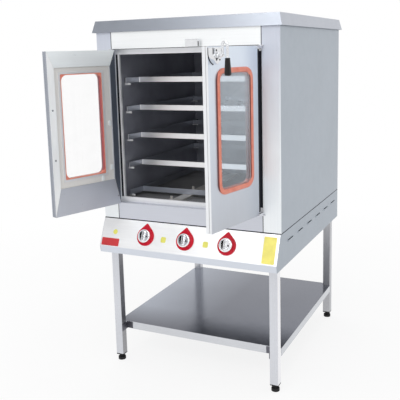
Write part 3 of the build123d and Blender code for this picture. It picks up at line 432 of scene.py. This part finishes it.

# Door leaves: painted light on the folds of the right leaf's free edge, painted shade on the left leaf's,
# and painted shade on each gasket's inner lip
free_edge_light_and_shade = {"left": linear(164, 169, 180), "right": linear(250, 252, 255)}
lip_painted_shade = {"left": linear(172, 78, 80), "right": linear(112, 58, 54)}
for hand in leaf_side:
    angle = math.radians(leaf_open[hand])
    free_edge = (-leaf_side[hand] * math.cos(angle), -math.sin(angle), 0)
    # The outer skin is painted darker towards the bottom as shade, and both sheets carry the leaf's painted
    # tone on the folds of the free edge
    node_materials[f"door_{hand}_outer_skin"] = steel(
        f"door_{hand}_steel", linear(198, 202, 210), 0.34, "upright", patch=0.08,
        light_shade_zones=((linear(234, 243, 254), axis_z, leaf_low, leaf_high), (free_edge_light_and_shade[hand], free_edge)),
    )
    node_materials[f"door_{hand}_inner_pan"] = steel(
        f"door_{hand}_pan_steel", linear(238, 236, 233), 0.36, "upright", metallic=0.25, patch=0.14,
        light_shade_zones=((free_edge_light_and_shade[hand], free_edge),),
    )
    node_materials[f"door_{hand}_glass"] = window_glasses[hand]
    node_materials[f"door_{hand}_gasket"] = silicone(
        f"door_{hand}_gasket_skin", linear(218, 122, 102), linear(230, 148, 128), lip_painted_shade[hand], free_edge,
    )
    node_materials[f"door_{hand}_glass_frame"] = frame_steel
    node_materials[f"door_{hand}_pivots"] = hinge_steel

for place in ("left", "middle", "right"):
    node_materials[f"knob_{place}"] = knob_chrome

# Racks: painted light on the fronts that reaches round the bar's edges, weaker on the top rack where the
# fascia shades it, and painted shade further in
rack_lit_face = (0, -1.4, 0)
rack_shade_start, rack_shade_end = 0.06, 0.30
for number in range(1, 6):
    rack_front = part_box(f"rack_{number}")[0][1]
    rack_front_light = linear(196, 202, 214) if number == 1 else linear(255, 255, 255)
    node_materials[f"rack_{number}"] = steel(
        f"rack_{number}_steel", linear(178, 182, 192), 0.32, "level",
        metallic=0.75, grain=0.03, patch=0.03, soften=0.0006,
        light_shade_zones=(
            (rack_front_light, rack_lit_face),
            (linear(150, 153, 161), axis_y, rack_front + rack_shade_start, rack_front + rack_shade_end),
        ),
    )

# Legs: painted light and shade on each one, and on its face towards the right
leg_light_and_shade = {
    "front_left": (linear(222, 224, 230), linear(165, 165, 168)),
    "front_right": (linear(222, 224, 230), linear(252, 252, 255)),
    "rear_left": (linear(210, 211, 215), linear(210, 211, 215)),
    "rear_right": (linear(192, 193, 197), linear(192, 193, 197)),
}
for place, (tone, right_face_light_and_shade) in leg_light_and_shade.items():
    node_materials[f"leg_{place}"] = steel(
        f"leg_{place}_steel", tone, 0.30, "upright", patch=0.10, soften=0.0015,
        light_shade_zones=((right_face_light_and_shade, to_right),),
    )
    node_materials[f"foot_{place}"] = black_matt

for name, node in nodes.items():
    for slot in node.material_slots:
        slot.material = node_materials[name]


# Mesh helpers
corner_steps = 5


def frame_matrix(origin, x_axis, y_axis, z_axis):
    """The matrix of a place with its three local axes."""
    matrix = Matrix.Identity(4)
    for column, axis in enumerate((x_axis, y_axis, z_axis)):
        for row in range(3):
            matrix[row][column] = axis[row]
    matrix.translation = origin
    return matrix


def rounded_outline(width, height, radius):
    """Corner points of a rounded rectangle about the origin, counter-clockwise."""
    points = []
    for quarter, (sign_x, sign_y) in enumerate(((1, 1), (-1, 1), (-1, -1), (1, -1))):
        for step in range(corner_steps + 1):
            angle = math.pi / 2 * (quarter + step / corner_steps)
            points.append(
                (
                    sign_x * (width / 2 - radius) + radius * math.cos(angle),
                    sign_y * (height / 2 - radius) + radius * math.sin(angle),
                )
            )
    return points


def disc_outline(radius, count=28):
    """Corner points of a disc about the origin, counter-clockwise."""
    return [
        (radius * math.cos(2 * math.pi * step / count), radius * math.sin(2 * math.pi * step / count))
        for step in range(count)
    ]


def prism(name, outline, matrix, thickness, material, body, bevel=0.0004):
    """A flat-topped solid from an outline in the matrix's local x and y, raised along local z."""
    mesh_data = bpy.data.meshes.new(name)
    work = bmesh.new()
    lower = [work.verts.new((x, y, 0.0)) for x, y in outline]
    upper = [work.verts.new((x, y, thickness)) for x, y in outline]
    work.faces.new(list(reversed(lower)))
    work.faces.new(upper)
    for index in range(len(outline)):
        following = (index + 1) % len(outline)
        work.faces.new((lower[index], lower[following], upper[following], upper[index]))
    work.transform(matrix)
    bmesh.ops.recalc_face_normals(work, faces=work.faces)
    work.to_mesh(mesh_data)
    work.free()
    piece = bpy.data.objects.new(name, mesh_data)
    bpy.context.scene.collection.objects.link(piece)
    if bevel > 0:
        rounding = piece.modifiers.new("rounding", "BEVEL")
        rounding.width = bevel
        rounding.segments = 2
        rounding.limit_method = "ANGLE"
        rounding.angle_limit = math.radians(35)
    mesh_data.materials.append(material)
    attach(piece, body)


# The slope of the control panel: local x to the right, local y up the slope, local z outwards
slope_length = math.hypot(slope_out, slope_drop)
slope_origin = Vector((0.0, front_y, seam_z))
slope_down = Vector((0.0, -slope_out / slope_length, -slope_drop / slope_length))
slope_normal = Vector((0.0, -slope_drop / slope_length, slope_out / slope_length))


def on_slope(x, down, lift=0.0):
    """A place on the slope, by its distance to the right, down from the seam and off the sheet."""
    origin = slope_origin + Vector((x, 0, 0)) + slope_down * down + slope_normal * lift
    return frame_matrix(origin, Vector((1, 0, 0)), -slope_down, slope_normal)


def slope_plate(name, across, down, radius, thickness, material):
    """A plate between two distances to the right and two distances down the slope."""
    outline = rounded_outline(across[1] - across[0], down[1] - down[0], radius)
    matrix = on_slope((across[0] + across[1]) / 2, (down[0] + down[1]) / 2)
    prism(name, outline, matrix, thickness, material, "cabinet", bevel=0.0002)


# Bare plates and blank stickers on the slope, with nothing printed on them
plate_across, plate_down = (-0.444, -0.348), (0.097, 0.134)
label_across, label_down = (0.378, 0.436), (0.014, 0.132)
sticker_places = {"sticker_left": -0.112, "sticker_right": 0.104}
sticker_half_w, sticker_down = 0.013, (0.065, 0.092)
dot_x, dot_down, dot_radius = -0.377, 0.065, 0.012
plate_round, sticker_round = 0.003, 0.007
plate_t, film_t, dot_t = 0.0010, 0.0005, 0.0006
slope_plate("plate_red", plate_across, plate_down, plate_round, plate_t, red_film)
slope_plate("label_yellow", label_across, label_down, plate_round, film_t, yellow_film)
for sticker, x in sticker_places.items():
    sticker_across = (x - sticker_half_w, x + sticker_half_w)
    slope_plate(sticker, sticker_across, sticker_down, sticker_round, film_t, pale_yellow_film)
prism(
    "sticker_dot", disc_outline(dot_radius), on_slope(dot_x, dot_down), dot_t, pale_yellow_film,
    "cabinet",
)

# Knob dressing: a dark inlay on one half of the crown, a spot on the other and a line along the ridge
inlay_outline = (
    (-0.0195, 0.016), (-0.0205, 0.004), (-0.0175, -0.009), (-0.0125, -0.020), (-0.0085, -0.0225),
    (-0.0080, 0.0225),
)
inlay_t = 0.0006
inlay_sink, groove_sink = 0.0001, 0.0002
spot_w, spot_h, spot_round = 0.007, 0.009, 0.003
spot_x, spot_down = 0.0150, 0.003
groove_w, groove_h, groove_round = 0.0020, 0.038, 0.0009
groove_x = 0.0022


def dress_knob(place, x):
    body = f"knob_{place}"
    spot = rounded_outline(spot_w, spot_h, spot_round)
    groove = rounded_outline(groove_w, groove_h, groove_round)
    crown_lift = knob_crown - inlay_sink
    ridge_lift = ridge_face - groove_sink
    details = (
        ("inlay", inlay_outline, on_slope(x, knob_down, crown_lift), black_gloss),
        ("spot", spot, on_slope(x + spot_x, knob_down + spot_down, crown_lift), black_gloss),
        ("groove", groove, on_slope(x + groove_x, knob_down, ridge_lift), black_matt),
    )
    for detail, outline, matrix, material in details:
        prism(f"{body}_{detail}", outline, matrix, inlay_t, material, body)


for place, x in (("left", -knob_pitch), ("middle", 0.0), ("right", knob_pitch)):
    dress_knob(place, x)


# Door leaves: a place is a distance from the hinge, a height and a distance outwards from its axis
def on_leaf(hand, along, height, outward, facing=1):
    """The place's matrix, with local y up and local z outwards, or inwards where facing is -1."""
    turn = math.radians(leaf_open[hand])
    side = leaf_side[hand]
    pivot = Vector(joints[f"door_{hand}_hinge"]["pos_m"])
    along_axis = Vector((-side * math.cos(turn), -math.sin(turn), 0.0))
    out_axis = Vector((side * math.sin(turn), -math.cos(turn), 0.0))
    origin = Vector((pivot.x, pivot.y, height)) + along_axis * along + out_axis * outward
    z_axis = out_axis * facing
    return frame_matrix(origin, up.cross(z_axis), up, z_axis)


# Inner face of a leaf: thin sheets with mitred corners and a narrow gap between them
sheet_t = 0.0003
mitre_gap = 0.0006


def inner_sheet(name, hand, corners, material):
    """A thin sheet on a leaf's inner face, from corners given as distance from the hinge and height."""
    side = leaf_side[hand]
    outline = [(side * along, height) for along, height in corners]
    if side < 0:
        outline.reverse()
    matrix = on_leaf(hand, 0.0, 0.0, inner_face, -1)
    prism(name, outline, matrix, sheet_t, material, f"door_{hand}", bevel=0.0001)


def moved(corner, direction, distance):
    """A flat point moved along a direction."""
    return (corner[0] + direction[0] * distance, corner[1] + direction[1] * distance)


def dress_inner_face(hand):
    """Four mitred sheets round the recess of the inner face, each with its own grain, the top and free ones
    painted light and the bottom and hinge ones painted shade.
    """
    outer = ((leaf_start, leaf_low), (leaf_end, leaf_low), (leaf_end, leaf_high), (leaf_start, leaf_high))
    inner = (
        (recess_start, recess_low), (recess_end, recess_low), (recess_end, recess_high),
        (recess_start, recess_high),
    )
    sheet_light_and_shade = (
        ("bottom", low_rail_painted_shade, (1, 0)), ("free", stile_painted_light, (0, 1)),
        ("top", rail_painted_light, (-1, 0)), ("hinge", stile_painted_shade, (0, -1)),
    )
    for index, (place, material, run) in enumerate(sheet_light_and_shade):
        following = (index + 1) % len(sheet_light_and_shade)
        corners = [
            moved(outer[index], run, mitre_gap), moved(outer[following], run, -mitre_gap),
            moved(inner[following], run, -mitre_gap), moved(inner[index], run, mitre_gap),
        ]
        inner_sheet(f"door_{hand}_sheet_{place}", hand, corners, material)


# Small pieces of each leaf: the dark strip of painted shade in the hinge groove, window clips, rivets and
# screws
strip_side_gap, strip_end_gap = 0.001, 0.026
strip_t, strip_round = 0.0095, 0.003
clip_w, clip_h, clip_t, clip_round = 0.012, 0.024, 0.004, 0.003
clip_places = ((0.044, 1.214), (0.045, 1.008), (0.099, 0.962))
rivet_along, rivet_heights = 0.351, (1.296, 1.078)
rivet_radius, rivet_t = 0.0045, 0.0010
screw_along, screw_inset = 0.018, 0.040
screw_radius, screw_t = 0.0040, 0.0006


def leaf_button(name, hand, along, height, radius, thickness):
    matrix = on_leaf(hand, along, height, inner_face - sheet_t, -1)
    outline = disc_outline(radius, count=20)
    prism(name, outline, matrix, thickness, screw_steel, f"door_{hand}", bevel=0.0006)


def dress_leaf(hand):
    body = f"door_{hand}"
    # The hinge strip paints the shade of the gap between the leaf and the column
    strip_w = hinge_strip_end - leaf_start - strip_side_gap
    strip = rounded_outline(strip_w, leaf_height - strip_end_gap, strip_round)
    matrix = on_leaf(hand, (hinge_strip_end + leaf_start) / 2, leaf_mid, groove_face)
    prism(f"{body}_hinge_strip", strip, matrix, strip_t, dark_seal_and_shade, body)
    dress_inner_face(hand)
    clip = rounded_outline(clip_w, clip_h, clip_round)
    for mark, (along, height) in enumerate(clip_places):
        matrix = on_leaf(hand, along, height, recess_face, -1)
        prism(f"{body}_clip_{mark}", clip, matrix, clip_t, rail_painted_light, body)
    for mark, height in enumerate(rivet_heights):
        leaf_button(f"{body}_rivet_{mark}", hand, rivet_along, height, rivet_radius, rivet_t)
    for mark, height in enumerate((leaf_low + screw_inset, leaf_high - screw_inset)):
        leaf_button(f"{body}_screw_{mark}", hand, screw_along, height, screw_radius, screw_t)


for hand in leaf_side:
    dress_leaf(hand)

# A dark plate that paints the shadow line round the handle's rosette, and three flat black discs at the
# rosette's screws
shield_half = ((0.0320, 0.0310), (0.0325, 0.0050), (0.0295, -0.0075), (0.0235, -0.0170), (0.0135, -0.0265))
shield_tip = (0.0, -0.0350)
shadow_line_outline = [
    shield_half[0], *((-x, y) for x, y in shield_half), shield_tip, *reversed(shield_half[1:]),
]
shadow_line_t = 0.0012
recess_places = ((0.010, 0.020), (-0.011, -0.014), (0.009, -0.014))
recess_outline = disc_outline(0.0042, count=18)
recess_t = 0.0006
prism(
    "rosette_shadow_line", shadow_line_outline, on_leaf("right", handle_along, handle_height, outer_face), shadow_line_t,
    dark_seal_and_shade, "door_right", bevel=0.0002,
)
for mark, (along, rise) in enumerate(recess_places):
    matrix = on_leaf("right", handle_along + along, handle_height + rise, rosette_face)
    prism(
        f"rosette_screw_{mark}", recess_outline, matrix, recess_t,
        black_gloss, "door_right", bevel=0.0002,
    )

# Thin seams and seals on the upright faces of the cabinet, which are a direction and a distance each; the
# seams are strips of painted shadow
seam_w = 0.0032
seam_proud = 0.0003
wall_faces = {
    "front": (Vector(to_front), -front_y),
    "ring": (Vector(to_front), -ring_front),
    "right": (Vector(to_right), body_half_w),
    "left": (Vector(to_left), body_half_w),
}


def wall_strip(name, face, low, high, material):
    """A strip on an upright face, between two corners given in the face's own width and height."""
    outward, distance = wall_faces[face]
    across = up.cross(outward)
    origin = outward * distance + across * low[0] + up * low[1]
    width, height = high[0] - low[0], high[1] - low[1]
    outline = [(0, 0), (width, 0), (width, height), (0, height)]
    matrix = frame_matrix(origin, across, up, outward)
    prism(name, outline, matrix, seam_proud, material, "cabinet", bevel=0.0)


# Dark seal strips on the ring beside the columns; the right one is widened to paint the shade in the gap
# beside its column
seal_and_shade_widths = {"left": 0.010, "right": 0.018}
seal_inset = 0.0045
seal_low_gap, seal_high_gap = 0.024, 0.023
for hand, side in leaf_side.items():
    x = side * (opening_half_w - seam_w / 4)
    for place, low_z, high_z in (("low", seam_z, opening_low), ("high", opening_high, roof_z)):
        wall_strip(
            f"seam_{hand}_{place}", "front", (x - seam_w / 2, low_z), (x + seam_w / 2, high_z),
            seam_shadow,
        )
    seal_shade_w = seal_and_shade_widths[hand]
    seal_x = side * (opening_half_w - seal_inset - seal_shade_w / 2)
    wall_strip(
        f"side_seal_and_shade_{hand}", "ring", (seal_x - seal_shade_w / 2, opening_low + seal_low_gap),
        (seal_x + seal_shade_w / 2, opening_high - seal_high_gap), dark_seal_and_shade,
    )

panel_seam_below, panel_seam_above = 0.0005, 0.0045
top_seam_start, top_seam_above = 0.0002, 0.0026
side_seam_half = 0.0018
panel_seam_end = body_half_w - 0.001
side_seam_end = back_y - 0.002
wall_strip(
    "seam_front", "front", (-panel_seam_end, seam_z - panel_seam_below),
    (panel_seam_end, seam_z + panel_seam_above), seam_shadow,
)
wall_strip(
    "seam_top", "front", (-opening_half_w, opening_high + top_seam_start),
    (opening_half_w, opening_high + top_seam_above), seam_shadow,
)
wall_strip(
    "seam_right", "right", (front_y, seam_z - side_seam_half), (side_seam_end, seam_z + side_seam_half),
    seam_shadow,
)
wall_strip(
    "seam_left", "left", (-side_seam_end, seam_z - side_seam_half), (-front_y, seam_z + side_seam_half),
    seam_shadow,
)

# The plain sheet under the body, dark with painted shade
pan_t = 0.0012
pan_side_gap, pan_front_gap, pan_back_gap = 0.005, 0.060, 0.080
pan_half_w = leg_inner_x - pan_side_gap
pan_front, pan_back = front_y + pan_front_gap, back_y - pan_back_gap
pan_outline = [
    (-pan_half_w, pan_front), (pan_half_w, pan_front), (pan_half_w, pan_back), (-pan_half_w, pan_back),
]
pan_matrix = frame_matrix(Vector((0, 0, base_z - pan_t)), Vector((1, 0, 0)), Vector((0, 1, 0)), up)
prism("base_pan", pan_outline, pan_matrix, pan_t, underside_painted_shade, "cabinet")


# Floor, backdrop light and lamps
def background_ray(tree):
    """1 for rays from the camera, from gloss and through glass, and 0 for the light on surfaces."""
    path = tree.nodes.new("ShaderNodeLightPath")
    total = path.outputs["Is Camera Ray"]
    for kind in ("Is Glossy Ray", "Is Transmission Ray"):
        either = tree.nodes.new("ShaderNodeMath")
        either.operation = "ADD"
        either.use_clamp = True
        tree.links.new(total, either.inputs[0])
        tree.links.new(path.outputs[kind], either.inputs[1])
        total = either.outputs[0]
    return total


stage_glow = 0.85
stage_fade_start, stage_fade_end = 1.0, 3.0


def white_stage(name):
    """A pale floor that keeps the shadow near the oven and fades to plain white further out."""
    shader = Shader(name)
    grain = shader.noise(3.0, detail=2.0)
    shader.put("Base Color", shader.mottle(grain, (0.93, 0.93, 0.93, 1), (0.95, 0.95, 0.95, 1)))
    shader.put("Roughness", 0.9)
    shader.put("Specular IOR Level", 0.2)
    glow = shader.add("ShaderNodeEmission", Strength=1.0)
    place = shader.add("ShaderNodeTexCoord")
    distance = shader.add("ShaderNodeVectorMath", operation="LENGTH")
    shader.link(place.outputs["Object"], distance.inputs[0])
    share = shader.spread(distance.outputs["Value"], stage_glow, 1.0, stage_fade_start, stage_fade_end)
    amount = shader.add("ShaderNodeMath", operation="MULTIPLY")
    shader.link(background_ray(shader.tree), amount.inputs[0])
    shader.link(share, amount.inputs[1])
    mixed = shader.add("ShaderNodeMixShader")
    shader.link(amount.outputs[0], mixed.inputs[0])
    shader.link(shader.main.outputs[0], mixed.inputs[1])
    shader.link(glow.outputs[0], mixed.inputs[2])
    shader.link(mixed.outputs[0], shader.tree.nodes["Material Output"].inputs["Surface"])
    return shader.material


def flat_sheet(name, width, height):
    """A rectangle about the origin as a new object."""
    x, y = width / 2, height / 2
    sheet_mesh = bpy.data.meshes.new(name)
    sheet_mesh.from_pydata([(-x, -y, 0), (x, -y, 0), (x, y, 0), (-x, y, 0)], [], [(0, 1, 2, 3)])
    sheet = bpy.data.objects.new(name, sheet_mesh)
    bpy.context.scene.collection.objects.link(sheet)
    return sheet


floor_width = 28.0
floor_object = flat_sheet("floor", floor_width, floor_width)
floor_object.data.materials.append(white_stage("floor_white"))

# Plain white surroundings, a little weaker as light on the surfaces than where they are seen
surface_light, seen_light = 0.72, 1.0
world = bpy.data.worlds.new("studio")
bpy.context.scene.world = world
world.use_nodes = True
world_tree = world.node_tree
background = world_tree.nodes["Background"]
background.inputs["Color"].default_value = (1, 1, 1, 1)
level = world_tree.nodes.new("ShaderNodeMapRange")
level.inputs["To Min"].default_value = surface_light
level.inputs["To Max"].default_value = seen_light
world_tree.links.new(background_ray(world_tree), level.inputs["Value"])
world_tree.links.new(level.outputs["Result"], background.inputs["Strength"])

body_centre = Vector((0.0, 0.0, 0.95))


def area_lamp(name, position, size, power):
    """A rectangular lamp that looks at the middle of the body."""
    lamp_data = bpy.data.lights.new(name, "AREA")
    lamp_data.shape = "RECTANGLE"
    lamp_data.size, lamp_data.size_y = size
    lamp_data.energy = power
    lamp = bpy.data.objects.new(name, lamp_data)
    bpy.context.scene.collection.objects.link(lamp)
    lamp.location = position
    lamp.rotation_euler = (body_centre - Vector(position)).to_track_quat("-Z", "Y").to_euler()


area_lamp("key_lamp", position=(0.2, -4.0, 3.8), size=(3.2, 1.6), power=54.0)
area_lamp("strip_lamp", position=(2.0, -3.7, 1.2), size=(0.22, 1.2), power=1.6)
area_lamp("fill_lamp", position=(4.4, -1.4, 3.0), size=(2.4, 2.4), power=10.0)
area_lamp("top_lamp", position=(0.0, 0.6, 5.2), size=(3.0, 3.0), power=34.0)


# Grey studio flags that only reflections see, which give the steel and chrome their darker bands
def studio_flag(name, centre, width, height, shade):
    flag = flat_sheet(name, width, height)
    flag.location = centre
    flag.rotation_euler = (body_centre - Vector(centre)).to_track_quat("Z", "Y").to_euler()
    flag.visible_camera = False
    flag.visible_diffuse = False
    flag.visible_shadow = False
    flag.visible_transmission = False
    shader = Shader(name)
    cloud = shader.noise(0.8, detail=2.0)
    shader.put("Base Color", shader.mottle(cloud, tint(shade, 0.8), tint(shade, 1.2)))
    shader.put("Roughness", 0.9)
    flag.data.materials.append(shader.material)


studio_flag("flag_front_left", centre=(-3.0, -3.9, 3.3), width=3.0, height=1.0, shade=linear(120, 120, 130))
studio_flag("flag_front_right", centre=(3.4, -4.6, 1.2), width=0.9, height=2.6, shade=linear(60, 60, 66))

# Camera at the photograph's viewing angle
camera_position = Vector((1.3212, -3.0689, 1.5246))
camera_yaw = math.radians(25.79)
camera_pitch = math.radians(9.37)
camera_roll = math.radians(-1.51)
forward = Vector(
    (
        -math.sin(camera_yaw) * math.cos(camera_pitch),
        math.cos(camera_yaw) * math.cos(camera_pitch),
        -math.sin(camera_pitch),
    )
)
right = Vector((math.cos(camera_yaw), math.sin(camera_yaw), 0.0))
upward = right.cross(forward)
rolled_right = right * math.cos(camera_roll) + upward * math.sin(camera_roll)
rolled_up = upward * math.cos(camera_roll) - right * math.sin(camera_roll)
camera_data = bpy.data.cameras.new("camera")
camera_data.sensor_width = 36.0
camera_data.lens = 58.47
camera_data.shift_y = -0.10
camera = bpy.data.objects.new("camera", camera_data)
bpy.context.scene.collection.objects.link(camera)
camera.matrix_world = frame_matrix(camera_position, rolled_right, rolled_up, -forward)
bpy.context.scene.camera = camera
bpy.context.scene.view_settings.view_transform = "Standard"
